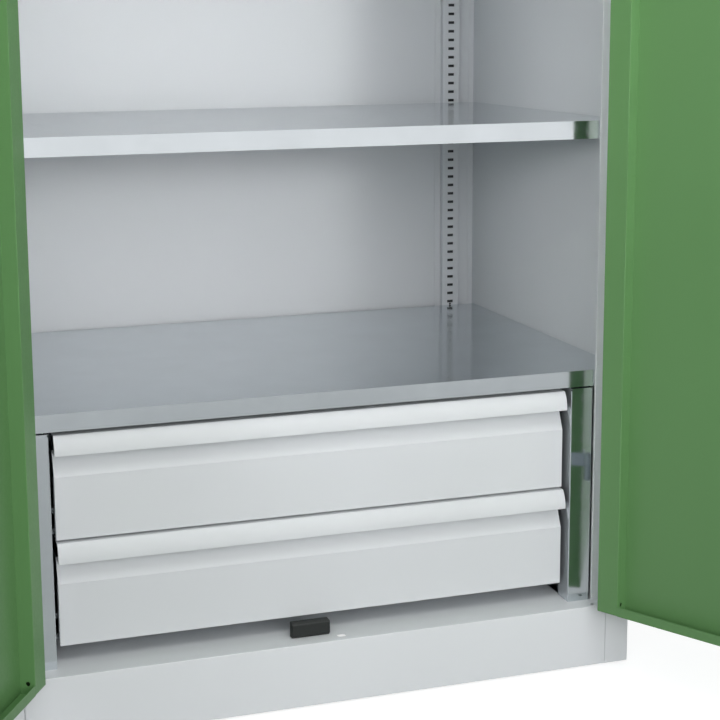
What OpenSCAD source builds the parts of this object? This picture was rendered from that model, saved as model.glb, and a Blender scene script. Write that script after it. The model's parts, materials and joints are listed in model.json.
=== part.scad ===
// Steel storage cabinet with two hinged doors, four shelf levels and two drawers.
// Drawn with both doors swung open and the drawers closed.
// The front faces -Y, +Z is up and the origin is on the floor under the middle of the body.

/* [Body] */
// Overall width
body_w = 930; // [800:5:1200]
// Depth of the body, without hinges and handle
body_d = 600; // [500:5:700]
// Overall height from the floor
body_h = 1950; // [1800:10:2100]
// Thickness of all body and door sheets
sheet = 1; // [0.8:0.1:1.2]
// Width of the side walls' front face
front_face_w = 37.5; // [34:0.5:45]
// Width of the stop flange that the doors close against
stop_w = 12; // [10:0.5:14]
// Height of the plinth above the glides
base_h = 91.5; // [80:0.5:120]
// Height of the plastic glides under the body
glide_h = 3; // [2:0.5:8]

/* [Shelves] */
// Height of a folded shelf edge
shelf_h = 25.5; // [22:0.5:28]
// Distance from one slot of the uprights to the next
slot_pitch = 15; // [14:0.5:20]
// Slot that the lowest adjustable shelf hangs in
shelf_1_slot = 22; // [14:1:24]
// Slot that the middle adjustable shelf hangs in
shelf_2_slot = 47; // [34:1:48]
// Slot that the highest adjustable shelf hangs in
shelf_3_slot = 72; // [58:1:72]

/* [Drawers] */
// Height of one drawer front
drawer_h = 146; // [140:1:155]
// Gap under each drawer front
drawer_gap = 3; // [1.5:0.5:4]
// Height of the grip lip along the top of a drawer front
lip_h = 26.5; // [24:0.5:30]
// Height of the drawer tray's side walls
tray_h = 105; // [80:1:110]

/* [Doors] */
// Opening angle in which the doors are drawn
door_open = 120; // [90:5:120]
// Thickness of a door
door_t = 22; // [21:0.5:26]
// Gap between the two closed doors
door_gap = 2.5; // [2:0.5:4]
// Width of the closed box section along the hinge side
hinge_box_w = 33; // [28:1:40]
// Width of the turned-in edge along the top and bottom of a door
door_edge_w = 14; // [10:1:18]
// Height of the handle's axis above the floor
handle_z = 1060; // [1000:5:1100]

/* [Hidden] */
$fn = 48;
eps = 0.01;
half_w = body_w/2;
half_d = body_d/2;
// side wall and frame
wall_in = half_w - sheet;
reveal = half_w - front_face_w;
stop_x = reveal - stop_w;
stop_y = door_t + 2;
stop_return = 3.5;
seam = 0.6;
base_top = glide_h + base_h;
header_h = front_face_w;
anchor_d = 9;
anchor_x = half_w - 16;
anchor_y = half_d - 19;
wall_anchor_in = 165;
wall_anchor_down = 70;
header_z = body_h - header_h;
rear_in = body_d - sheet;
flange_in = 36;
floor_hole_in = 55.4;
// inner parts stand behind the stop flange
inner_y = stop_y + 4;
upright_depth = 13;
upright_t = 1.2;
shelf_back = rear_in - upright_depth - 0.5;
shelf_x = wall_in - 1.5;
// drawers
drawer_pitch = drawer_h + drawer_gap;
drawer_z = base_top + 26.5;
cover_h = 24;
cover_z = drawer_z + 2*drawer_pitch + 3.7;
cover_top = cover_z + cover_h;
cheek_in = 51.3;
cheek_x = half_w - cheek_in;
cheek_face_w = 34.7;
cheek_return = 32;
relief_d = 3;
galv = 1.2;
front_x = cheek_x - cheek_face_w - 7;
face_y = inner_y + 13;
lip_y = inner_y - 1.6;
tray_front = face_y + 17;
bevel_h = 33;
bevel_in = 15;
tray_x = front_x - 6.5;
slide_t = 12.7;
slide_rest = 100;
slide_l = body_d - slide_rest;
slide_z = 21;
slide_y0 = tray_front + 4;
carrier_x = tray_x + slide_t;
// uprights
slot_w = 11;
slot_h = 4.6;
slot_z0 = cover_top + 6.7;
slot_n = floor((header_z - 40 - slot_z0)/slot_pitch);
upright_w = 31;
upright_in = 64;
upright_x0 = half_w - upright_in;
rail_y0 = inner_y + 14;
rail_depth = 14;
clip_t = 2;
clip_up = 0.4;
// doors
hinge_x = reveal - 0.7;
hinge_y = 8;
door_x0 = 1;
door_z0 = base_top + 2.5;
door_z1 = header_z - 2.5;
strike_w = 30;
buffer_l = 56;
buffer_left = 50.5;
strike_end = 30;
knuckle_d = 11;
pin_d = 6;
pin_play = 0.15;
knuckle_l = 20.5;
knuckle_gap = 0.3;
leaf_w = 22;
leaf_t = 2.5;
hinge_end = 192;
hinge_z = [door_z0 + hinge_end, (door_z0 + door_z1)/2, door_z1 - hinge_end];
// lock gear
rod_x = 20;
rod_y = 16.2;
rod_w = 10;
rod_t = 5;
rod_stroke = 16;
crank_r = rod_stroke/sqrt(2);
crank_pin_d = 4;
spindle_d = 12;
cylinder_d = 18;
key_down = 60;
plate_w = 34;
plate_t = 6;
lever_l = 110;
guide_end = 60;
guide_off = 120;
guide_z = [door_z0 + guide_end, handle_z - guide_off, handle_z + guide_off, door_z1 - guide_end];

// a block between two corners, with y counted backwards from the body's front face
module block(x, y, z) {
  translate([x[0], y[0] - half_d, z[0]])
    cube([x[1] - x[0], y[1] - y[0], z[1] - z[0]]);
}

// the same shape on the left side
module left_side() {
  mirror([1, 0, 0]) children();
}

function unit(v) = v/norm(v);
function turned(v) = [-v[1], v[0]];
function seg(p, i) = unit(p[i + 1] - p[i]);
function side_point(p, i, t) =
  let (a = turned(seg(p, max(i, 1) - 1)), b = turned(seg(p, min(i, len(p) - 2))))
  p[i] + t*(a + b)/(1 + a*b);

function left_turn(a, b) = a[0]*b[1] - a[1]*b[0] > 0;
function foot(p, i, j, t) =
  i > 0 && i < len(p) - 1 && left_turn(seg(p, i - 1), seg(p, i)) == (t > 0)
    ? side_point(p, i, t) - t*turned(seg(p, j))
    : p[i];

// outline of a folded sheet of thickness t whose one face follows the path p,
// sharp inside each fold and rounded with the sheet's thickness outside it
module folded(p, t) {
  for (j = [0:len(p) - 2]) {
    n = t*turned(seg(p, j));
    polygon([foot(p, j, j, t), foot(p, j + 1, j, t), foot(p, j + 1, j, t) + n, foot(p, j, j, t) + n]);
  }
  for (i = [1:len(p) - 2]) {
    inside = left_turn(seg(p, i - 1), seg(p, i)) == (t > 0);
    c = inside ? side_point(p, i, t) : p[i];
    n = inside ? -t : t;
    a = n*turned(seg(p, i - 1));
    b = n*turned(seg(p, i));
    intersection() {
      translate(c)
        circle(r = abs(t));
      polygon([c, c + 2*a, c + 2*(a + b), c + 2*b]);
    }
  }
}

// a folded sheet with its profile in plan, standing from z0 to z1
module standing(p, t, z0, z1) {
  translate([0, -half_d, z0])
    linear_extrude(height = z1 - z0)
      folded(p, t);
}

// a folded sheet with its profile in side view, running from x0 to x1
module lying(p, t, x0, x1) {
  translate([x0, -half_d, 0])
    rotate([90, 0, 90])
      linear_extrude(height = x1 - x0)
        folded(p, t);
}

module side_wall() {
  color("Gainsboro") difference() {
    union() {
      standing([[wall_in - 9, rear_in], [half_w, rear_in], [half_w, 0], [reveal, 0],
                [reveal, stop_y], [stop_x, stop_y], [stop_x, stop_y + stop_return]],
               -sheet, glide_h, body_h - sheet);
      block([half_w - 31, wall_in + eps], [sheet - eps, rear_in - sheet + eps],
            [glide_h, glide_h + sheet]);
    }
    for (s = [-1, 1])
      translate([anchor_x, s*anchor_y, glide_h - 1])
        cylinder(d = anchor_d, h = sheet + 2);
  }
}

module side_wall_left() {
  left_side() side_wall();
}

module side_wall_right() {
  side_wall();
}

module back_wall() {
  color("Gainsboro") difference() {
    union() {
      block([-half_w, half_w], [body_d - sheet, body_d], [glide_h, body_h - sheet]);
      block([flange_in - half_w, half_w - flange_in], [rear_in - 25, body_d - sheet + eps],
            [glide_h, glide_h + sheet]);
    }
    for (s = [-1, 1])
      translate([s*(half_w - wall_anchor_in), half_d + 1, body_h - wall_anchor_down])
        rotate([90, 0, 0])
          cylinder(d = anchor_d, h = sheet + 2);
  }
}

module top_panel() {
  color("Gainsboro") difference() {
    union() {
      block([-half_w, half_w], [0, body_d], [body_h - sheet, body_h]);
      lying([[0, body_h - sheet + eps], [0, header_z], [stop_y - 0.3, header_z]],
            sheet, seam - reveal, reveal - seam);
      lying([[stop_y - 5, header_z], [stop_y, header_z], [stop_y, header_z - stop_w],
             [stop_y + stop_return, header_z - stop_w]],
            sheet, 0.2 - stop_x, stop_x - 0.2);
    }
    translate([rod_x, rod_y - half_d, header_z - 1])
      rod_hole();
  }
}

// oblong passage for a lock rod
module rod_hole() {
  linear_extrude(height = 4) {
    for (s = [-1, 1])
      translate([2*s, 0])
        circle(d = 9);
    square([4, 9], center = true);
  }
}

module floor_plate() {
  color("Gainsboro") difference() {
    union() {
      lying([[stop_y - 2, glide_h], [0, glide_h], [0, base_top], [stop_y - 0.3, base_top]],
            -sheet, seam - reveal, reveal - seam);
      block([0.3 - stop_x, stop_x - 0.3], [stop_y - 1, inner_y + 1],
            [base_top - sheet, base_top]);
      block([-wall_in, wall_in], [inner_y, rear_in - sheet], [base_top - sheet, base_top]);
      for (s = [-1, 1])
        block([min(s*wall_in, s*(wall_in - sheet)), max(s*wall_in, s*(wall_in - sheet))],
              [inner_y, rear_in - sheet], [base_top - 20, base_top - sheet + eps]);
    }
    translate([rod_x, rod_y - half_d, base_top - 2])
      rod_hole();
    for (s = [-1, 1])
      translate([s*(half_w - floor_hole_in), 9 - half_d, base_top - 2])
        cylinder(d = 6, h = 4);
  }
}

// rear upright: slotted channel in front of the back wall
module upright_rear() {
  x0 = upright_x0;
  x1 = upright_x0 + upright_w;
  y0 = rear_in - upright_depth;
  y1 = rear_in;
  color("Gainsboro") difference() {
    standing([[x0 - 10, y1 - upright_t], [x0, y1 - upright_t], [x0, y0], [x1, y0], [x1, y1]],
             upright_t, base_top, body_h - 2*sheet);
    for (i = [0:slot_n])
      block([x0 + upright_w/2 - slot_w/2, x0 + upright_w/2 + slot_w/2], [y0 - 1, y0 + 3],
            [slot_z0 + i*slot_pitch - slot_h/2, slot_z0 + i*slot_pitch + slot_h/2]);
    translate([x0 + upright_w/2, y0 + 3 - half_d, slot_z0 - 4.8])
      rotate([90, 0, 0])
        cylinder(d = 4, h = 4);
  }
}

module upright_rear_left() {
  left_side() upright_rear();
}

module upright_rear_right() {
  upright_rear();
}

// front rail: slotted channel on the side wall, behind the stop flange
module rail_front() {
  x0 = wall_in - rail_depth;
  y1 = rail_y0 + upright_w;
  color("Gainsboro") difference() {
    standing([[wall_in, rail_y0], [x0, rail_y0], [x0, y1], [wall_in - upright_t, y1],
              [wall_in - upright_t, y1 + 10]], -upright_t, cover_top, body_h - 2*sheet);
    for (i = [0:slot_n])
      block([x0 - 1, x0 + 3], [rail_y0 + upright_w/2 - slot_w/2, rail_y0 + upright_w/2 + slot_w/2],
            [slot_z0 + i*slot_pitch - slot_h/2, slot_z0 + i*slot_pitch + slot_h/2]);
  }
}

module rail_front_left() {
  left_side() rail_front();
}

module rail_front_right() {
  rail_front();
}

// galvanised shelf tray: closed top, edges folded down and in
module shelf_tray(z, h, notch) {
  x0 = shelf_x;
  x1 = notch ? wall_in - rail_depth - 1 : shelf_x;
  y1 = rail_y0 + upright_w + 12;
  color("LightSteelBlue") translate([0, -half_d, z])
    difference() {
      shelf_outline(x0, x1, y1, h);
      translate([0, 0, -eps])
        shelf_inside(x0, x1, y1, h);
      translate([0, 0, -1])
        shelf_mouth(x0, x1, y1);
    }
}

module shelf_plan(x0, x1, y1, in) {
  difference() {
    translate([in - x0, inner_y + in])
      square([2*(x0 - in), shelf_back - inner_y - 2*in]);
    for (s = [-1, 1])
      translate([s*(x1 + half_w/8 - in), y1/2 + in/2])
        square([half_w/4, y1 + in], center = true);
  }
}

module shelf_outline(x0, x1, y1, h) {
  linear_extrude(height = h)
    shelf_plan(x0, x1, y1, 0);
}

module shelf_inside(x0, x1, y1, h) {
  translate([0, 0, galv + eps])
    linear_extrude(height = h - 2*galv)
      shelf_plan(x0, x1, y1, galv);
}

module shelf_mouth(x0, x1, y1) {
  linear_extrude(height = galv + 2)
    shelf_plan(x0, x1, y1, 16);
}

module drawer_cover_shelf() {
  shelf_tray(cover_z, cover_h, false);
}

module shelf_1() {
  shelf_tray(slot_z0 + shelf_1_slot*slot_pitch + clip_up, shelf_h, true);
}

module shelf_2() {
  shelf_tray(slot_z0 + shelf_2_slot*slot_pitch + clip_up, shelf_h, true);
}

module shelf_3() {
  shelf_tray(slot_z0 + shelf_3_slot*slot_pitch + clip_up, shelf_h, true);
}

// shelf clip, hooked through a slot: s points out of the upright's face
module clip() {
  rotate([90, 0, 0])
    translate([0, 0, -5])
      linear_extrude(height = 10)
        polygon([[-5, clip_up], [15, clip_up], [15, clip_up - clip_t], [2, clip_up - clip_t],
                 [2, -14], [0, -14], [0, clip_up - clip_t], [-3, clip_up - clip_t],
                 [-3, -8], [-5, -8]]);
}

module shelf_clips() {
  color("Silver")
    for (n = [shelf_1_slot, shelf_2_slot, shelf_3_slot], s = [0, 1])
      mirror([s, 0, 0]) {
        translate([upright_x0 + upright_w/2, rear_in - upright_depth - half_d,
                   slot_z0 + n*slot_pitch])
          rotate([0, 0, -90])
            clip();
        translate([wall_in - rail_depth, rail_y0 + upright_w/2 - half_d,
                   slot_z0 + n*slot_pitch])
          rotate([0, 0, 180])
            clip();
      }
}

// galvanised panel beside the drawers, with folded front, top and bottom edges
module drawer_cheek() {
  x1 = cheek_x;
  x0 = cheek_x - cheek_face_w;
  color("LightSteelBlue") union() {
    difference() {
      standing([[x1, shelf_back], [x1, inner_y], [x0, inner_y], [x0, inner_y + cheek_return]],
               -galv, base_top, cover_z - 2.5);
      translate([x0, inner_y - half_d, cover_z - 4.7])
        rotate([90, 0, -45])
          cylinder(d = relief_d, h = 8, center = true);
    }
    block([x0 + galv + 0.5, x1 - galv + eps], [inner_y + 12, shelf_back],
          [base_top, base_top + galv]);
    block([x1 - galv, x1], [inner_y + 12, shelf_back], [cover_z - 2.5 - eps, cover_z]);
    block([x0 + galv + 0.5, x1 - galv + eps], [inner_y + 12, shelf_back], [cover_z - galv, cover_z]);
  }
}

module drawer_cheek_left() {
  left_side() drawer_cheek();
}

module drawer_cheek_right() {
  drawer_cheek();
}

// side profile swept along the depth: x counted from x0 to the outside
module rail(x0, z, l, y0) {
  translate([x0, y0 + l - half_d, z])
    rotate([90, 0, 0])
      linear_extrude(height = l)
        children();
}

// bracket that carries a slide from the cheek's inner face
module slide_carriers() {
  d = cheek_x - galv - carrier_x;
  color("Silver")
    for (k = [0, 1])
      rail(carrier_x, drawer_z + slide_z + k*drawer_pitch, slide_l, slide_y0)
        folded([[d, 34], [d, 20], [1.5, 20], [1.5, -24], [d, -24], [d, -38]], -1.5);
}

module slide_carriers_left() {
  left_side() slide_carriers();
}

module slide_carriers_right() {
  slide_carriers();
}

// outer slide channel, open towards the drawer
module slide_outer() {
  color("Silver")
    for (k = [0, 1])
      rail(carrier_x - slide_t, drawer_z + slide_z + k*drawer_pitch, slide_l, slide_y0)
        folded([[3.5, 14.4], [3.5, 18], [12.7, 18], [12.7, -18], [3.5, -18], [3.5, -14.4]], -1.2);
}

module slide_outer_left() {
  left_side() slide_outer();
}

module slide_outer_right() {
  slide_outer();
}

// middle slide channel, nested in the outer one
module slide_mid(k) {
  color("Silver")
    for (s = [0, 1])
      mirror([s, 0, 0])
        rail(carrier_x - slide_t, drawer_z + slide_z + k*drawer_pitch, slide_l, slide_y0)
          folded([[5.1, 12.5], [5.1, 16.4], [11.1, 16.4], [11.1, -16.4], [5.1, -16.4],
                  [5.1, -12.5]], -1.2);
}

module slide_mid_upper() {
  slide_mid(1);
}

module slide_mid_lower() {
  slide_mid(0);
}

// inner slide channel, fixed to the drawer tray
module slide_inner(k) {
  color("Silver")
    for (s = [0, 1])
      mirror([s, 0, 0])
        rail(carrier_x - slide_t, drawer_z + slide_z + k*drawer_pitch, slide_l, slide_y0)
          folded([[8.4, 14.8], [7.2, 12.1], [0, 12.1], [0, -12.1], [7.2, -12.1],
                  [8.4, -14.8]], 1.2);
}

module slide_inner_upper() {
  slide_inner(1);
}

module slide_inner_lower() {
  slide_inner(0);
}

// drawer front in side view: y backwards, z up from the front's lower edge
module drawer_front_profile() {
  z1 = drawer_h - lip_h;
  r = 38;
  zc = z1 + 2;
  square([tray_front - face_y, sheet]);
  square([sheet, z1 - bevel_h + 0.5]);
  folded([[0, z1 - bevel_h], [bevel_in, z1 + 0.5]], -sheet);
  translate([lip_y - face_y, z1])
    square([tray_front - lip_y, sheet]);
  intersection() {
    difference() {
      translate([lip_y - face_y + r, zc])
        circle(r = r, $fn = 96);
      translate([lip_y - face_y + r, zc])
        circle(r = r - sheet, $fn = 96);
    }
    translate([lip_y - face_y - 1, z1])
      square([20, lip_h]);
  }
  translate([lip_y - face_y + r - sqrt(r*r - (drawer_h - zc)*(drawer_h - zc)), drawer_h - sheet])
    square([tray_front - lip_y - r + sqrt(r*r - (drawer_h - zc)*(drawer_h - zc)), sheet]);
}

module drawer_front(k) {
  color("WhiteSmoke")
    translate([0, face_y - half_d, drawer_z + k*drawer_pitch]) {
      translate([-front_x, 0, 0])
        rotate([90, 0, 90])
          linear_extrude(height = 2*front_x)
            drawer_front_profile();
      for (s = [-1, 1])
        translate([s*(front_x - sheet/2) - sheet/2, eps, eps])
          cube([sheet, 12, drawer_h - lip_h - bevel_h - sheet]);
    }
}

module drawer_front_upper() {
  drawer_front(1);
}

module drawer_front_lower() {
  drawer_front(0);
}

// drawer tray: folded box with turned-in upper edges
module drawer_tray(k) {
  y1 = tray_front + slide_l + 5;
  z0 = drawer_z + k*drawer_pitch;
  color("LightSteelBlue") {
    difference() {
      block([-tray_x, tray_x], [tray_front, y1], [z0 + 1, z0 + 1 + tray_h]);
      block([sheet - tray_x, tray_x - sheet], [tray_front + sheet, y1 - sheet],
            [z0 + 1 + sheet, z0 + tray_h + 1 - sheet]);
      block([9 - tray_x, tray_x - 9], [tray_front + sheet, y1 - 9],
            [z0 + tray_h - sheet, z0 + tray_h + 2]);
    }
    block([-tray_x, tray_x], [tray_front, tray_front + sheet], [z0 + tray_h, z0 + drawer_h]);
  }
}

module drawer_tray_upper() {
  drawer_tray(1);
}

module drawer_tray_lower() {
  drawer_tray(0);
}

// sets a right door's part, drawn closed, around its hinge axis and swings it open
module right_door() {
  translate([hinge_x, -half_d - hinge_y, 0])
    rotate([0, 0, door_open])
      translate([-hinge_x, half_d + hinge_y, 0])
        children();
}

// sheet pan of a door: skin, folded edges and turned-in flanges
module door_pan() {
  xa = hinge_x - door_x0;
  xb = door_gap/2;
  color("OliveDrab") {
    block([xb, xa], [0, sheet], [door_z0, door_z1]);
    block([xa - sheet, xa], [0, door_t - sheet], [door_z0, door_z1]);
    block([xb, xb + sheet], [0, door_t], [door_z0, door_z1]);
    block([xb, xb + 12], [door_t - sheet, door_t], [door_z0 + door_edge_w, door_z1 - door_edge_w]);
    for (z = [door_z0, door_z1 - sheet])
      block([xb, xa], [0, door_t - sheet], [z, z + sheet]);
    for (z = [door_z0, door_z1 - door_edge_w])
      block([xb, xa - hinge_box_w], [door_t - sheet, door_t], [z, z + door_edge_w]);
    for (z = [door_z0, door_z1 - sheet])
      block([xb, xa - hinge_box_w], [door_t - 2*sheet, door_t], [z, z + sheet]);
  }
}

module door_right_panel() {
  right_door() difference() {
    door_pan();
    for (z = [door_z0 - 1, door_z1 - 2])
      translate([rod_x, rod_y - half_d, z])
        rod_hole();
    translate([rod_x, 2 - half_d, handle_z])
      rotate([90, 0, 0])
        cylinder(d = spindle_d + 1, h = 4);
    translate([rod_x, 2 - half_d, handle_z - key_down])
      rotate([90, 0, 0])
        cylinder(d = cylinder_d + 2, h = 4);
  }
}

module door_left_panel() {
  left_side() right_door() door_pan();
}

// folded channel that closes the hinge side of a door to a box
module hinge_box() {
  xa = hinge_x - door_x0;
  color("OliveDrab") difference() {
    standing([[xa, door_t], [xa - hinge_box_w, door_t], [xa - hinge_box_w, sheet]],
             sheet, door_z0 + sheet, door_z1 - sheet);
    translate([xa - hinge_box_w - 1, 12 - half_d, door_z0 + 15])
      rotate([0, 90, 0])
        cylinder(d = 6, h = 4);
  }
}

module door_right_hinge_box() {
  right_door() hinge_box();
}

module door_left_hinge_box() {
  left_side() right_door() hinge_box();
}

// strip on the left door's free edge that the right door closes over
module door_left_strike_strip() {
  color("OliveDrab") left_side() right_door() {
    z = [door_z0 + strike_end, door_z1 - strike_end];
    block([door_gap/2 + 2, strike_w], [door_t, door_t + 1.2], z);
    block([-strike_w/2, door_gap/2 + 4], [door_t + 0.3, door_t + 1.5], z);
  }
}

// cylinder standing on a hinge axis
module on_axis(d, z0, h) {
  translate([hinge_x, -half_d - hinge_y, z0])
    cylinder(d = d, h = h);
}

module hinge_frame_leaves() {
  color("Silver")
    for (z = hinge_z)
      difference() {
        union() {
          on_axis(knuckle_d, z - knuckle_l, knuckle_l);
          block([reveal, reveal + leaf_w], [-leaf_t, 0], [z - knuckle_l, z]);
          block([reveal, hinge_x + knuckle_d/2], [-hinge_y, -2], [z - knuckle_l, z]);
        }
        on_axis(pin_d, z - knuckle_l - 1, knuckle_l + 2);
      }
}

module hinge_frame_leaves_left() {
  left_side() hinge_frame_leaves();
}

module hinge_frame_leaves_right() {
  hinge_frame_leaves();
}

module hinge_door_leaves() {
  xa = hinge_x - door_x0;
  color("Silver")
    for (z = hinge_z)
      difference() {
        union() {
          on_axis(knuckle_d, z + knuckle_gap, knuckle_l);
          block([xa - leaf_w, xa], [-leaf_t, 0], [z + knuckle_gap, z + knuckle_l]);
          block([xa, xa + 1], [-leaf_t, door_t - 4], [z + knuckle_gap, z + knuckle_l]);
          block([hinge_x - knuckle_d/2, xa + 1], [-hinge_y, -2], [z + knuckle_gap, z + knuckle_l]);
        }
        on_axis(pin_d + pin_play, z - 1, knuckle_l + 2);
      }
}

module hinge_door_leaves_left() {
  left_side() right_door() hinge_door_leaves();
}

module hinge_door_leaves_right() {
  right_door() hinge_door_leaves();
}

module hinge_pins() {
  color("Silver")
    for (z = hinge_z)
      on_axis(pin_d, z - knuckle_l, 2*knuckle_l - 3);
}

module hinge_pins_left() {
  left_side() hinge_pins();
}

module hinge_pins_right() {
  hinge_pins();
}

// rubber block on the floor plate that both doors close against
module door_buffer() {
  color("DimGray")
    translate([-buffer_left, -half_d, base_top])
      rotate([90, 0, 90])
        linear_extrude(height = buffer_l)
          polygon([[door_t + 4.5, 0], [door_t + 14, 0], [door_t + 14, 22], [door_t + 3, 22],
                   [door_t + 0.4, 20], [door_t + 0.4, 4]]);
}

module glides() {
  color("DimGray")
    for (x = [-1, 1], y = [-1, 1])
      translate([x*anchor_x, y*anchor_y, 0])
        difference() {
          cylinder(d = 26, h = glide_h);
          translate([0, 0, -1])
            cylinder(d = anchor_d, h = glide_h + 2);
        }
}

module handle_plate() {
  color("DimGray") right_door() difference() {
    translate([rod_x, -half_d, handle_z - key_down/2])
      rotate([90, 0, 0])
        linear_extrude(height = plate_t) {
          translate([0, key_down/2])
            circle(d = plate_w);
          translate([0, -key_down/2])
            circle(d = plate_w);
          square([plate_w, key_down], center = true);
        }
    translate([rod_x, 1 - half_d, handle_z])
      rotate([90, 0, 0])
        cylinder(d = spindle_d + 0.1, h = 8);
    translate([rod_x, 1 - half_d, handle_z - key_down])
      rotate([90, 0, 0])
        cylinder(d = cylinder_d + 0.1, h = 8);
  }
}

module handle_lever() {
  color("DimGray") right_door()
    translate([rod_x, -half_d, handle_z])
      rotate([90, 0, 0]) {
        translate([0, 0, -13])
          cylinder(d = spindle_d, h = 33);
        translate([0, 0, 6.4])
          cylinder(d = 24, h = 20);
        translate([0, 0, 14.4])
          linear_extrude(height = 12) {
            translate([0, -8])
              square([lever_l, 16]);
            translate([lever_l, 0])
              circle(d = 16);
          }
      }
}

module lock_cylinder() {
  color("Silver") right_door()
    translate([rod_x, -half_d, handle_z - key_down])
      rotate([90, 0, 0])
        difference() {
          translate([0, 0, -13])
            cylinder(d = cylinder_d, h = 20.5);
          translate([-0.6, -4, 4])
            cube([1.2, 8, 5]);
        }
}

// disc on the handle's spindle with one pin for each rod, drawn unlocked
module lock_crank() {
  color("Silver") right_door()
    translate([rod_x, 10 - half_d, handle_z])
      rotate([-90, 0, 0]) {
        difference() {
          cylinder(r = crank_r + 5, h = 3);
          translate([0, 0, -1])
            cylinder(d = spindle_d, h = 5);
        }
        for (a = [135, 315])
          rotate([0, 0, a])
            translate([crank_r, 0, 2])
              cylinder(d = crank_pin_d, h = 7.5);
      }
}

// flat lock rod seen from the front: bar above the crank and a plate with the pin's slot
module rod_shape(l) {
  x = crank_r*cos(45);
  z = -crank_r*sin(45);
  mirror([1, 0]) difference() {
    union() {
      translate([-rod_w/2, 14])
        square([rod_w, l - 14]);
      translate([3, z - 5])
        square([14, 19 - z + 5]);
    }
    translate([x - crank_pin_d/2 - 0.6, z - crank_pin_d/2 - 0.45])
      square([crank_r - x + crank_pin_d + 1.2, crank_pin_d + 0.9]);
  }
}

module lock_rod() {
  translate([rod_x, rod_y + rod_t/2 - half_d, handle_z])
    rotate([90, 0, 0])
      linear_extrude(height = rod_t)
        children();
}

module lock_rod_upper() {
  color("Silver") right_door() lock_rod()
    rod_shape(door_z1 - 1.5 - handle_z);
}

module lock_rod_lower() {
  color("Silver") right_door() lock_rod()
    rotate(180)
      rod_shape(handle_z - door_z0 - 1.5);
}

// guide blocks on the door skin that the rods slide through
module lock_rod_guides() {
  g = 0.3;
  color("DimGray") right_door()
    for (z = guide_z)
      difference() {
        block([rod_x - rod_w/2 - 4, rod_x + rod_w/2 + 4], [sheet, rod_y + rod_t/2 + 2], [z - 8, z + 8]);
        block([rod_x - rod_w/2 - g, rod_x + rod_w/2 + g],
              [rod_y - rod_t/2 - g, rod_y + rod_t/2 + g], [z - 9, z + 9]);
      }
}

side_wall_left();
side_wall_right();
back_wall();
top_panel();
floor_plate();
upright_rear_left();
upright_rear_right();
rail_front_left();
rail_front_right();
drawer_cover_shelf();
shelf_1();
shelf_2();
shelf_3();
shelf_clips();
drawer_cheek_left();
drawer_cheek_right();
slide_carriers_left();
slide_carriers_right();
slide_outer_left();
slide_outer_right();
slide_mid_upper();
slide_mid_lower();
slide_inner_upper();
slide_inner_lower();
drawer_front_upper();
drawer_tray_upper();
drawer_front_lower();
drawer_tray_lower();
door_right_panel();
door_right_hinge_box();
door_left_panel();
door_left_hinge_box();
door_left_strike_strip();
hinge_frame_leaves_left();
hinge_frame_leaves_right();
hinge_door_leaves_left();
hinge_door_leaves_right();
hinge_pins_left();
hinge_pins_right();
door_buffer();
glides();
handle_plate();
handle_lever();
lock_cylinder();
lock_crank();
lock_rod_upper();
lock_rod_lower();
lock_rod_guides();
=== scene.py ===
# %% [markdown]
# # A steel storage cabinet
# The cabinet is folded from 1 mm sheet, powder coated in light grey, with green doors, galvanised
# shelves and two light drawers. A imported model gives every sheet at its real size, folds included.
# Here each one gets its finish, and the screws, rivets and other small parts go on last.

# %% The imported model
import math
import bpy
import bmesh
from mathutils import Matrix, Vector
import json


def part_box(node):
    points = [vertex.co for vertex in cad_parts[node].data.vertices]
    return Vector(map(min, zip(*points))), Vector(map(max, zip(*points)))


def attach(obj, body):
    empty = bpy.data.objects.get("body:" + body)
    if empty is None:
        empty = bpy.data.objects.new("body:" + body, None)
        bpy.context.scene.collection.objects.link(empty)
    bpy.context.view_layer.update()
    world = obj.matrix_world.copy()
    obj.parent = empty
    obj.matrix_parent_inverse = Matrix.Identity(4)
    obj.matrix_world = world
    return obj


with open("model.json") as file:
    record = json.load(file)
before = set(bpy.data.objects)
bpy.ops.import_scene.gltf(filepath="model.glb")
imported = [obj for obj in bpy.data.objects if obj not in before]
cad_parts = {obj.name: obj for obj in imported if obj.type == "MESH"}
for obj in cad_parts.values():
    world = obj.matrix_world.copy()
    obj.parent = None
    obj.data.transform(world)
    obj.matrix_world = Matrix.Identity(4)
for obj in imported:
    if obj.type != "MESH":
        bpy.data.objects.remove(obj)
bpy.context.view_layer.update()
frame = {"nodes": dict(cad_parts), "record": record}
nodes = frame["nodes"]
MM = 0.001

# %% [markdown]
# ## The camera
# A product picture like this one is taken from about chest height with a long lens, turned a little
# so that the right side shows. The camera is built from where it stands, how far it is turned and
# how far it is tilted. A small lens shift keeps the uprights nearly upright.

# %% Camera
CAMERA_PLACE = Vector((-621, -2244, 949)) * MM
TURN = math.radians(17.35)
TILT = math.radians(9.51)
ROLL = math.radians(-0.53)
LENS_MM = 76.8

camera_data = bpy.data.cameras.new("camera")
camera_data.lens = LENS_MM
camera_data.sensor_width = 36
camera_data.shift_x = 0.057
camera_data.shift_y = -0.11
camera = bpy.data.objects.new("camera", camera_data)
bpy.context.scene.collection.objects.link(camera)
camera.matrix_world = (
    Matrix.Translation(CAMERA_PLACE)
    @ Matrix.Rotation(-TURN, 4, "Z")
    @ Matrix.Rotation(math.pi / 2 - TILT, 4, "X")
    @ Matrix.Rotation(ROLL, 4, "Z")
)
bpy.context.scene.camera = camera
bpy.context.scene.view_settings.view_transform = "Standard"
print("camera at", [round(v, 3) for v in CAMERA_PLACE])

# %% [markdown]
# ## Colours and nodes
# Colours are read as hex values, the way a colour card gives them, and turned to the linear values
# that a renderer works with. One helper adds a shader node with its settings and links, so that
# each material below reads as a list of what it is made of.

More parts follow.
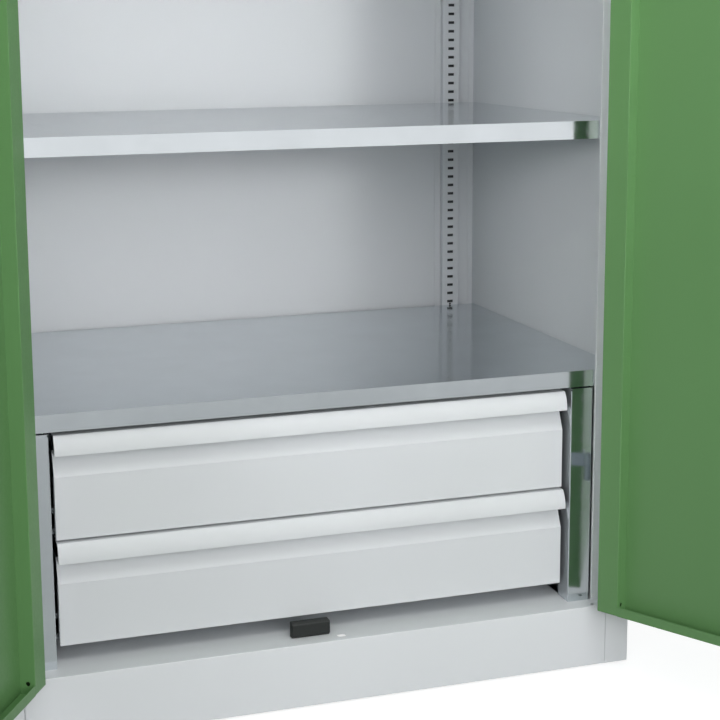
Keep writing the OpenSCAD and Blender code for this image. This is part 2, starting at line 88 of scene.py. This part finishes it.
# %% Helpers for materials
def linear(hex_code):
    """A colour card's hex value as linear red, green, blue and alpha."""
    channels = [int(hex_code[i : i + 2], 16) / 255 for i in (1, 3, 5)]
    return [c / 12.92 if c <= 0.04045 else ((c + 0.055) / 1.055) ** 2.4 for c in channels] + [1]


def shades(hex_code, share):
    """The same colour darker and lighter by a share, for a mottle that runs between the two."""
    base = linear(hex_code)[:3]
    return [c * (1 - share) for c in base] + [1], [min(1, c * (1 + share)) for c in base] + [1]


def add(material, kind, settings=None, **inputs):
    """Adds a node. Settings are its own properties. Inputs are values or the sockets that feed it,
    and an input called _0, _1 and so on is taken by its number."""
    tree = material.node_tree
    made = tree.nodes.new(kind)
    for name, value in (settings or {}).items():
        setattr(made, name, value)
    for name, value in inputs.items():
        numbered = name[1:].isdigit()
        socket = made.inputs[int(name[1:]) if numbered else name.replace("_", " ")]
        if isinstance(value, bpy.types.NodeSocket):
            tree.links.new(value, socket)
        else:
            socket.default_value = value
    return made


def new_material(name):
    """An empty material whose output and surface shader are in place."""
    material = bpy.data.materials.new(name)
    material.use_nodes = True
    material.node_tree.nodes.clear()
    surface = add(material, "ShaderNodeBsdfPrincipled")
    add(material, "ShaderNodeOutputMaterial", Surface=surface.outputs["BSDF"])
    return material, surface


def connect(material, source, surface, name):
    material.node_tree.links.new(source, surface.inputs[name])


# %% [markdown]
# ## Powder coat
# The body, doors and drawer fronts are powder coated: a charged polyester powder is baked on at
# 180 degrees and flows to a skin that is never quite flat. The eye reads that as a satin sheen with
# a slight orange peel. The peel is about 1 mm from crest to crest on a real sheet. That is finer
# than a pixel here, so it is drawn 4 mm wide, with a broad faint waviness of the sheet under it.
# Behind the slots of the uprights the inside of the channels is painted dark: painted shade that stands
# in for the shade in them, so that the slots read as dark dashes.

# %% Channels painted dark as shade
# painted shade: the dark colour inside the upright channels, behind the slots
SLOT_SHADE = "#43474a"
UPRIGHT_SHEET = 1.2 * MM
UPRIGHT_LIP = 10 * MM
BEHIND_FACE = 1 * MM
SLACK = 0.1 * MM


def span(start, end):
    """A stretch as its middle and half its length, which is how a Compare node takes it."""
    return (start + end) / 2, (end - start) / 2


low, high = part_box("upright_rear_right")
rear_channel = (
    span(low[0] + UPRIGHT_LIP + UPRIGHT_SHEET, high[0] - UPRIGHT_SHEET),
    span(low[1] + BEHIND_FACE, high[1] + SLACK),
    span(low[2], high[2]),
)
low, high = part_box("rail_front_right")
front_channel = (
    span(low[0] + BEHIND_FACE, high[0] + SLACK),
    span(low[1] + UPRIGHT_SHEET, high[1] - UPRIGHT_LIP - UPRIGHT_SHEET),
    span(low[2], high[2]),
)
for channel in (rear_channel, front_channel):
    print("channel", [round(2 * half / MM, 1) for middle, half in channel], "mm")

# %% Powder coat
PEEL = 4 * MM
CLOUD = 180 * MM
WAVE = 240 * MM


def powder_coat(name, colour, roughness, channels=()):
    """Satin polyester skin. Inside the channels, at both sides of the cabinet, a dark painted shade
    takes its place.
    """
    material, surface = new_material(name)
    place = add(material, "ShaderNodeTexCoord").outputs["Object"]
    cloud = add(material, "ShaderNodeTexNoise", Vector=place, Scale=1 / CLOUD, Detail=3.0)
    dark, light = shades(colour, 0.025)
    tint = add(
        material, "ShaderNodeMix", {"data_type": "RGBA"}, _0=cloud.outputs["Fac"], _6=dark, _7=light,
    )
    peel = add(material, "ShaderNodeTexNoise", Vector=place, Scale=1 / PEEL, Detail=2.0)
    wave = add(material, "ShaderNodeTexNoise", Vector=place, Scale=1 / WAVE, Detail=1.0)
    gloss = add(
        material, "ShaderNodeMapRange", Value=peel.outputs["Fac"], From_Min=0.3, From_Max=0.7,
        To_Min=roughness - 0.04, To_Max=roughness + 0.04,
    )
    sheet = add(material, "ShaderNodeBump", Strength=0.25, Distance=0.6 * MM, Height=wave.outputs["Fac"])
    skin = add(
        material, "ShaderNodeBump", Strength=0.12, Distance=0.05 * MM, Height=peel.outputs["Fac"],
        Normal=sheet.outputs["Normal"],
    )
    skin_colour = tint.outputs[2]
    for channel in channels:
        axes = add(material, "ShaderNodeSeparateXYZ", Vector=place)
        across = add(material, "ShaderNodeMath", {"operation": "ABSOLUTE"}, _0=axes.outputs["X"])
        place_axes = (across.outputs["Value"], axes.outputs["Y"], axes.outputs["Z"])
        inside = 1
        for axis, (middle, half) in zip(place_axes, channel):
            within = add(
                material, "ShaderNodeMath", {"operation": "COMPARE"}, _0=axis, _1=middle, _2=half,
            )
            both = add(
                material, "ShaderNodeMath", {"operation": "MULTIPLY"},
                _0=inside, _1=within.outputs["Value"],
            )
            inside = both.outputs["Value"]
        # painted shade: inside each channel the coat's colour gives way to a dark one
        channel_shade = add(
            material, "ShaderNodeMix", {"data_type": "RGBA"}, _0=inside,
            _6=skin_colour, _7=linear(SLOT_SHADE),
        )
        skin_colour = channel_shade.outputs[2]
    surface.inputs["IOR"].default_value = 1.5
    connect(material, skin_colour, surface, "Base Color")
    connect(material, gloss.outputs["Result"], surface, "Roughness")
    connect(material, skin.outputs["Normal"], surface, "Normal")
    print("powder coat", name, colour)
    return material


coat_body = powder_coat("powder_coat_light_grey", "#d8dbde", 0.42, (rear_channel, front_channel))
coat_drawer = powder_coat("powder_coat_pale_grey", "#cdd0d3", 0.40)
coat_door = powder_coat("powder_coat_green", "#5f8956", 0.42)

# %% [markdown]
# ## Galvanised sheet
# Shelves, drawer trays and the panels beside the drawers are cut from galvanised coil. The zinc is
# skin passed, which wipes its flowers out to a faint mottle and leaves fine rolling lines along the
# coil. It mirrors softly: a shelf shows a blurred picture of the wall behind it. The flowers are
# 8 mm across, and the rolling lines are drawn 3 mm apart, wider than they are.
# In the narrow gaps beside the drawers the zinc is made partly non-metallic, so that it scatters light
# as well as mirroring it: painted light, which makes the gap read as mid grey instead of black.

# %% Gap beside the drawers
# painted light: how metallic the zinc stays in the gap beside the drawers, lower so that the gap reads
# lit
GAP_LIGHT_METALLIC = 0.7
GAP_SKIN = 0.3 * MM
tray_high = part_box("drawer_tray_upper")[1]
cheek_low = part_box("drawer_cheek_right")[0]
slide_gap = span(tray_high[0] - GAP_SKIN, cheek_low[0] + GAP_SKIN)
print("slide gap", [round(x / MM, 1) for x in slide_gap], "mm, middle and half")


# %% Galvanised sheet
FLOWER = 8 * MM
MOTTLE = 60 * MM
ROLLING_LINE = 3 * MM
STRETCH_ALONG_COIL = 0.03


def galvanised_sheet(name, colour, roughness, lit_gap=None):
    """Skin passed zinc. The last argument is the stretch, at both sides of the cabinet, where the zinc
    is made partly non-metallic: painted light in the gap.
    """
    material, surface = new_material(name)
    place = add(material, "ShaderNodeTexCoord").outputs["Object"]
    flowers = add(material, "ShaderNodeTexVoronoi", Vector=place, Scale=1 / FLOWER)
    cloud = add(material, "ShaderNodeTexNoise", Vector=place, Scale=1 / MOTTLE, Detail=4.0)
    along = add(material, "ShaderNodeMapping", Vector=place, Scale=(STRETCH_ALONG_COIL, 1, 1))
    lines = add(
        material, "ShaderNodeTexNoise",
        Vector=along.outputs["Vector"], Scale=1 / ROLLING_LINE, Detail=2.0,
    )
    dark, light = shades(colour, 0.07)
    mottle = add(
        material, "ShaderNodeMix", {"data_type": "RGBA"}, _0=cloud.outputs["Fac"], _6=dark, _7=light,
    )
    gloss = add(
        material, "ShaderNodeMapRange", Value=flowers.outputs["Color"],
        To_Min=roughness - 0.03, To_Max=roughness + 0.03,
    )
    rolled = add(
        material, "ShaderNodeBump", Strength=0.15, Distance=0.03 * MM, Height=lines.outputs["Fac"],
    )
    surface.inputs["Metallic"].default_value = 1
    # painted light: in the gap the zinc turns partly non-metallic and reads mid grey instead of black
    if lit_gap:
        axes = add(material, "ShaderNodeSeparateXYZ", Vector=place)
        across = add(material, "ShaderNodeMath", {"operation": "ABSOLUTE"}, _0=axes.outputs["X"])
        in_gap = add(
            material, "ShaderNodeMath", {"operation": "COMPARE"},
            _0=across.outputs["Value"], _1=lit_gap[0], _2=lit_gap[1],
        )
        metal = add(
            material, "ShaderNodeMapRange",
            Value=in_gap.outputs["Value"], To_Min=1.0, To_Max=GAP_LIGHT_METALLIC,
        )
        connect(material, metal.outputs["Result"], surface, "Metallic")
    connect(material, mottle.outputs[2], surface, "Base Color")
    connect(material, gloss.outputs["Result"], surface, "Roughness")
    connect(material, rolled.outputs["Normal"], surface, "Normal")
    print("galvanised sheet", name)
    return material


ZINC = "#d6dce0"
galvanised = galvanised_sheet("galvanised_steel_sheet", ZINC, 0.13)
galvanised_gap = galvanised_sheet("galvanised_steel_beside_drawers", ZINC, 0.13, slide_gap)

# %% [markdown]
# ## Zinc plate, nickel, rubber and plastic
# The slides, hinges and lock rods are zinc plated and passivated, which leaves a bluish grey with
# a soft gleam. The lock cylinder is nickel plated and brighter. The buffer is moulded EPDM rubber
# with a matt, slightly grainy skin. Handle and glides are moulded plastic with a spark eroded grain.

# %% Small materials
BATH_CLOUD = 12 * MM


def plated(name, colour, roughness):
    material, surface = new_material(name)
    place = add(material, "ShaderNodeTexCoord").outputs["Object"]
    cloud = add(material, "ShaderNodeTexNoise", Vector=place, Scale=1 / BATH_CLOUD, Detail=3.0)
    dark, light = shades(colour, 0.1)
    tint = add(
        material, "ShaderNodeMix", {"data_type": "RGBA"}, _0=cloud.outputs["Fac"], _6=dark, _7=light,
    )
    gloss = add(
        material, "ShaderNodeMapRange", Value=cloud.outputs["Fac"],
        To_Min=roughness - 0.05, To_Max=roughness + 0.05,
    )
    surface.inputs["Metallic"].default_value = 1
    connect(material, tint.outputs[2], surface, "Base Color")
    connect(material, gloss.outputs["Result"], surface, "Roughness")
    return material


def moulded(name, colour, roughness, grain_mm):
    material, surface = new_material(name)
    place = add(material, "ShaderNodeTexCoord").outputs["Object"]
    grain = add(material, "ShaderNodeTexNoise", Vector=place, Scale=1 / (grain_mm * MM), Detail=2.0)
    gloss = add(
        material, "ShaderNodeMapRange", Value=grain.outputs["Fac"],
        To_Min=roughness - 0.06, To_Max=roughness + 0.06,
    )
    eroded = add(
        material, "ShaderNodeBump", Strength=0.4, Distance=0.08 * MM, Height=grain.outputs["Fac"],
    )
    surface.inputs["Base Color"].default_value = linear(colour)
    connect(material, gloss.outputs["Result"], surface, "Roughness")
    connect(material, eroded.outputs["Normal"], surface, "Normal")
    return material


zinc = plated("zinc_plated_steel", "#aeb6ba", 0.3)
nickel = plated("nickel_plated_brass", "#cfcdc6", 0.16)
rubber = moulded("epdm_rubber_black", "#1c1f1e", 0.62, 0.8)
plastic = moulded("moulded_plastic_black", "#202223", 0.45, 1.0)

# %% [markdown]
# ## Finishes on the sheets
# The imported record names a slot for every node's finish. One table takes each slot to its material.
# The panels beside the drawers and the trays take a zinc that is made partly non-metallic in the gap
# between them, as painted light.

# %% Finishes on the sheets
FINISH = {
    "body_grey": coat_body,
    "drawer_grey": coat_drawer,
    "door_green": coat_door,
    "galvanised": galvanised,
    "zinc_plated": zinc,
    "nickel": nickel,
    "black_rubber": rubber,
    "black_plastic": plastic,
}
BESIDE_DRAWERS = ("drawer_cheek_left", "drawer_cheek_right", "drawer_tray_upper", "drawer_tray_lower")
slot_of = {part["node"]: part["material_slot"] for part in frame["record"]["subparts"]}
for name, sheet in nodes.items():
    sheet.data.materials.clear()
    sheet.data.materials.append(galvanised_gap if name in BESIDE_DRAWERS else FINISH[slot_of[name]])
print("finishes", {slot: sum(s == slot for s in slot_of.values()) for slot in FINISH})

# %% [markdown]
# ## Softened edges
# Moulded, turned and stamped parts never have a knife edge: a mould has a radius, and plated parts
# are tumbled before plating. Each of them gets a small round along its edges, which catches a thin
# highlight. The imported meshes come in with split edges, so a weld goes under the rounding.

# %% Softened edges
EDGE_ROUND = {
    "handle_lever": 3.0, "handle_plate": 1.2, "door_buffer": 1.6, "glides": 0.8,
    "lock_rod_guides": 0.8, "lock_cylinder": 0.5, "lock_crank": 0.4, "lock_rod_upper": 0.4,
    "lock_rod_lower": 0.4, "shelf_clips": 0.4,
    "hinge_frame_leaves_left": 0.5, "hinge_frame_leaves_right": 0.5,
    "hinge_door_leaves_left": 0.5, "hinge_door_leaves_right": 0.5,
}
for name, width in EDGE_ROUND.items():
    weld = nodes[name].modifiers.new("weld", "WELD")
    weld.merge_threshold = 0.01 * MM
    round_off = nodes[name].modifiers.new("round", "BEVEL")
    round_off.width = width * MM
    round_off.segments = 3
    round_off.limit_method = "ANGLE"
    round_off.angle_limit = math.radians(40)
    round_off.use_clamp_overlap = True
print("rounded", len(EDGE_ROUND), "nodes")

# %% [markdown]
# ## Screws, rivets and weld marks
# Hinges and slides go on after the coat is baked, so their screws and rivets stay bright. A head is
# turned from a few rings, and its six-lobed socket is the same ring with waves in its radius. The
# back wall is spot welded to the side walls, and each weld leaves a shallow ring in the sheet that
# the powder coat follows.

# %% Turned small parts
TURNS = 36
SCREW = [
    (3.1, -0.1, 0), (3.2, 0.5, 0), (2.9, 1.0, 0), (2.1, 1.3, 0), (1.35, 1.35, 0.14), (1.25, 0.4, 0.14),
]
RIVET = [(3.0, -0.1, 0), (2.9, 0.5, 0), (2.2, 1.1, 0), (1.1, 1.3, 0), (0.9, 0.6, 0)]
NUT = [
    (4.5, -0.1, 0.07), (4.6, 0.4, 0.07), (4.6, 3.2, 0.07), (4.1, 3.7, 0), (2.5, 3.7, 0), (2.3, 1.5, 0),
]
WELD_MARK = [(3.4, -0.05, 0), (3.1, 0.12, 0), (2.5, 0.16, 0), (1.9, 0.08, 0), (0.8, 0.03, 0)]


def turned(name, rings, places, material, body):
    """One piece of equal turned parts. A ring is a radius, a height and how deep its six waves are."""
    mesh = bmesh.new()
    angles = [2 * math.pi * i / TURNS for i in range(TURNS)]
    for place in places:
        loops = []
        for radius, height, waves in rings:
            reach = [radius * (1 + waves * math.cos(6 * a)) * MM for a in angles]
            corners = [
                Vector((r * math.cos(a), r * math.sin(a), height * MM)) for a, r in zip(angles, reach)
            ]
            loops.append([mesh.verts.new(place @ corner) for corner in corners])
        for near, far in zip(loops, loops[1:]):
            for i in range(TURNS):
                mesh.faces.new((near[i - 1], near[i], far[i], far[i - 1]))
        mesh.faces.new(loops[0])
        mesh.faces.new(loops[-1])
    bmesh.ops.recalc_face_normals(mesh, faces=mesh.faces)
    data = bpy.data.meshes.new(name)
    mesh.to_mesh(data)
    mesh.free()
    for face in data.polygons:
        face.use_smooth = True
    data.set_sharp_from_angle(angle=math.radians(50))
    data.materials.append(material)
    piece = bpy.data.objects.new(name, data)
    bpy.context.scene.collection.objects.link(piece)
    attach(piece, body)
    print(name, len(places), "parts")
    return piece


def facing(x, y, z, direction):
    """Where a small part sits, with its own Z along a direction."""
    turn = Vector(direction).to_track_quat("Z", "Y").to_matrix().to_4x4()
    return Matrix.Translation((x, y, z)) @ turn


# %% Hinge screws
def box(node):
    low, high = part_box(node)
    return Vector(low), Vector(high)


DOOR_OPEN = math.radians(120)
KNUCKLE = 20.5 * MM
LEAF = 2.5 * MM
FRAME_SCREWS = (5 * MM, 13 * MM)
DOOR_SCREWS = (10 * MM, 18 * MM)
OUT = (0, -1, 0)
INWARD = (0, 1, 0)
pin_low, pin_high = box("hinge_pins_right")
leaf_low, leaf_high = box("hinge_frame_leaves_right")
door_low, door_high = box("door_right_panel")
wall_low, wall_high = box("side_wall_right")
front_y = wall_low.y
hinge = Vector(((pin_low.x + pin_high.x) / 2, (pin_low.y + pin_high.y) / 2, 0))
hinge_heights = [leaf_low.z + KNUCKLE, (door_low.z + door_high.z) / 2, leaf_high.z]


def on_door(side):
    """Takes a place on the closed right door to where the door stands, or to its mirror image."""
    swing = Matrix.Translation(hinge) @ Matrix.Rotation(DOOR_OPEN, 4, "Z") @ Matrix.Translation(-hinge)
    return Matrix.Diagonal((side, 1, 1, 1)) @ swing


for side, word in ((1, "right"), (-1, "left")):
    mirrored = Matrix.Diagonal((side, 1, 1, 1))
    frame_places = [
        mirrored @ facing(leaf_high.x - back, front_y - LEAF, z - KNUCKLE / 2, OUT)
        for z in hinge_heights for back in FRAME_SCREWS
    ]
    door_places = [
        on_door(side) @ facing(hinge.x - back, front_y - LEAF, z + KNUCKLE / 2, OUT)
        for z in hinge_heights for back in DOOR_SCREWS
    ]
    turned(f"hinge_screws_frame_{word}", SCREW, frame_places, zinc, "body")
    turned(f"hinge_screws_door_{word}", SCREW, door_places, zinc, f"door_{word}")

# %% Drawer screws and rivets
SHEET = 1 * MM
SLIDE_UP = 20 * MM
RIVET_IN = 50 * MM
SCREW_COLUMNS = (-280 * MM, 0, 280 * MM)
SCREW_ROWS = (28 * MM, 82 * MM)
for level in ("upper", "lower"):
    low, high = box(f"drawer_tray_{level}")
    rivets = [
        facing(side * (high.x - SHEET), y, low.z + SLIDE_UP, (-side, 0, 0))
        for side in (-1, 1) for y in (low.y + RIVET_IN, (low.y + high.y) / 2, high.y - RIVET_IN)
    ]
    screws = [
        facing(x, low.y + SHEET, low.z + up, INWARD) for x in SCREW_COLUMNS for up in SCREW_ROWS
    ]
    turned(f"drawer_rivets_{level}", RIVET, rivets, zinc, f"drawer_{level}")
    turned(f"drawer_screws_{level}", SCREW, screws, zinc, f"drawer_{level}")

# %% Lock nuts and weld marks
crank_low, crank_high = box("lock_crank")
handle_z = (crank_low.z + crank_high.z) / 2
LOCK_X = 20 * MM
NUT_OFF = 11.5 * MM
NUT_DOWN = 30 * MM
nuts = [
    on_door(1) @ facing(LOCK_X + off, front_y + SHEET, handle_z - NUT_DOWN, INWARD)
    for off in (-NUT_OFF, NUT_OFF)
]
turned("lock_nuts", NUT, nuts, zinc, "door_right")

WELD_PITCH = 120 * MM
BACK_WELD_IN = 6 * MM
BACK_ENDS = (50 * MM, 10 * MM)
back_low, back_high = box("back_wall")
steps = int((back_high.z - back_low.z - sum(BACK_ENDS)) / WELD_PITCH)
heights = [back_low.z + BACK_ENDS[0] + i * WELD_PITCH for i in range(steps + 1)]
back_marks = [
    facing(side * (back_high.x - BACK_WELD_IN), back_high.y, z, INWARD)
    for side in (-1, 1) for z in heights
]
turned("weld_marks_back", WELD_MARK, back_marks, coat_body, "body")

DOOR_DEPTH = 22 * MM
STRIP_SHEET = 1.2 * MM
STRIP_WELD_X = 18 * MM
STRIP_END = 40 * MM
strip_low, strip_high = box("door_left_strike_strip")
strip_y = front_y + DOOR_DEPTH + STRIP_SHEET
steps = int((strip_high.z - strip_low.z - STRIP_END) / WELD_PITCH)
strip_marks = [
    on_door(-1) @ facing(STRIP_WELD_X, strip_y, strip_low.z + STRIP_END + i * WELD_PITCH, INWARD)
    for i in range(steps + 1)
]
turned("weld_marks_strip", WELD_MARK, strip_marks, coat_door, "door_left")

# %% [markdown]
# ## Floor and light
# A pale studio floor that runs far back, and a white sky. The floor adds a little light of its own
# for what the camera and the mirrors see, so that it turns white, and it keeps the cabinet's shadow.
# Large soft lamps stand in front, high on the left and above. A deep cabinet swallows their light,
# so two more lamps with a grid, which narrows the beam, reach into the compartments. Two lamps at
# the back keep the rear readable.

# %% Floor
FLOOR_HALF = 30
NEAR_FLOOR = 1.6
FAR_FLOOR = 4.5
NEAR_GLOW = 0.8
MIRROR_GLOW = 0.22
floor_corners = [(x * FLOOR_HALF, y * FLOOR_HALF, 0) for x, y in ((-1, -1), (1, -1), (1, 1), (-1, 1))]
floor_mesh = bpy.data.meshes.new("floor")
floor_mesh.from_pydata(floor_corners, [], [(0, 1, 2, 3)])
floor = bpy.data.objects.new("floor", floor_mesh)
bpy.context.scene.collection.objects.link(floor)

paper = bpy.data.materials.new("studio_paper")
paper.use_nodes = True
paper.node_tree.nodes.clear()
ray = add(paper, "ShaderNodeLightPath")
seen = add(
    paper, "ShaderNodeMath", {"operation": "ADD", "use_clamp": True},
    _0=ray.outputs["Is Camera Ray"], _1=ray.outputs["Is Glossy Ray"],
)
place = add(paper, "ShaderNodeTexCoord").outputs["Object"]
distance = add(paper, "ShaderNodeVectorMath", {"operation": "LENGTH"}, _0=place)
away = add(
    paper, "ShaderNodeMapRange", {"interpolation_type": "SMOOTHSTEP"}, Value=distance.outputs["Value"],
    From_Min=NEAR_FLOOR, From_Max=FAR_FLOOR,
)
white_share = add(
    paper, "ShaderNodeMath", {"operation": "MULTIPLY"},
    _0=away.outputs["Result"], _1=seen.outputs["Value"],
)
glow_mirror = add(
    paper, "ShaderNodeMath", {"operation": "MULTIPLY"}, _0=ray.outputs["Is Glossy Ray"], _1=MIRROR_GLOW
)
glow_level = add(
    paper, "ShaderNodeMath", {"operation": "MULTIPLY_ADD"},
    _0=ray.outputs["Is Camera Ray"], _1=NEAR_GLOW, _2=glow_mirror.outputs["Value"],
)
diffuse = add(paper, "ShaderNodeBsdfDiffuse", Color=linear("#9a9d9e"))
glow = add(paper, "ShaderNodeEmission", Color=linear("#ffffff"), Strength=glow_level.outputs["Value"])
near = add(paper, "ShaderNodeAddShader", _0=diffuse.outputs["BSDF"], _1=glow.outputs["Emission"])
white = add(paper, "ShaderNodeEmission", Color=linear("#ffffff"), Strength=1.0)
mixed = add(
    paper, "ShaderNodeMixShader", _0=white_share.outputs["Value"], _1=near.outputs["Shader"],
    _2=white.outputs["Emission"],
)
add(paper, "ShaderNodeOutputMaterial", Surface=mixed.outputs["Shader"])
floor_mesh.materials.append(paper)

# %% World and lamps
world = bpy.data.worlds.new("studio")
bpy.context.scene.world = world
world.use_nodes = True
world.node_tree.nodes.clear()
WORLD_LIGHT = 0.2
ray = add(world, "ShaderNodeLightPath")
seen = add(
    world, "ShaderNodeMath", {"operation": "ADD", "use_clamp": True},
    _0=ray.outputs["Is Camera Ray"], _1=ray.outputs["Is Glossy Ray"],
)
strength = add(world, "ShaderNodeMapRange", Value=seen.outputs["Value"], To_Min=WORLD_LIGHT, To_Max=1.0)
sky = add(world, "ShaderNodeBackground", Color=linear("#ffffff"), Strength=strength.outputs["Result"])
add(world, "ShaderNodeOutputWorld", Surface=sky.outputs["Background"])


def lamp(name, place, target, width, height, watts, beam=180, mirrored=False):
    """A soft rectangular lamp that looks at a point. A grid narrows its beam to so many degrees."""
    data = bpy.data.lights.new(name, "AREA")
    data.shape = "RECTANGLE"
    data.size = width
    data.size_y = height
    data.energy = watts
    data.spread = math.radians(beam)
    made = bpy.data.objects.new(name, data)
    bpy.context.scene.collection.objects.link(made)
    made.location = place
    made.rotation_euler = (Vector(target) - Vector(place)).to_track_quat("-Z", "Y").to_euler()
    made.visible_glossy = mirrored
    return made


lamp("front_right", (1.8, -5.3, 1.75), (0, 0, 0.8), 3.2, 2.9, 72)
lamp("front", (-0.5, -6.0, 1.75), (0, 0, 0.8), 3.0, 2.9, 92)
lamp("left_high", (-3.4, -4.7, 4.2), (0, 0, 0.8), 3.4, 2.9, 70)
lamp("top", (0.2, -4.0, 6.2), (0, -0.3, 0.4), 3.7, 2.5, 132, mirrored=True)
lamp("grid_right", (1.5, -5.6, 1.7), (-0.05, 0.3, 1.22), 1.4, 1.0, 2.6, beam=20)
lamp("grid_left", (-4.6, -4.2, 1.7), (0.4, 0.05, 1.12), 1.4, 1.0, 2.8, beam=24)
lamp("rear_left", (-3.2, 4.4, 2.6), (0, 0, 0.9), 2.4, 2.2, 110, mirrored=True)
lamp("rear_right", (3.2, 4.4, 2.6), (0, 0, 0.9), 2.4, 2.2, 110, mirrored=True)

# %% [markdown]
# ## Sizes

# %% Sizes
import json
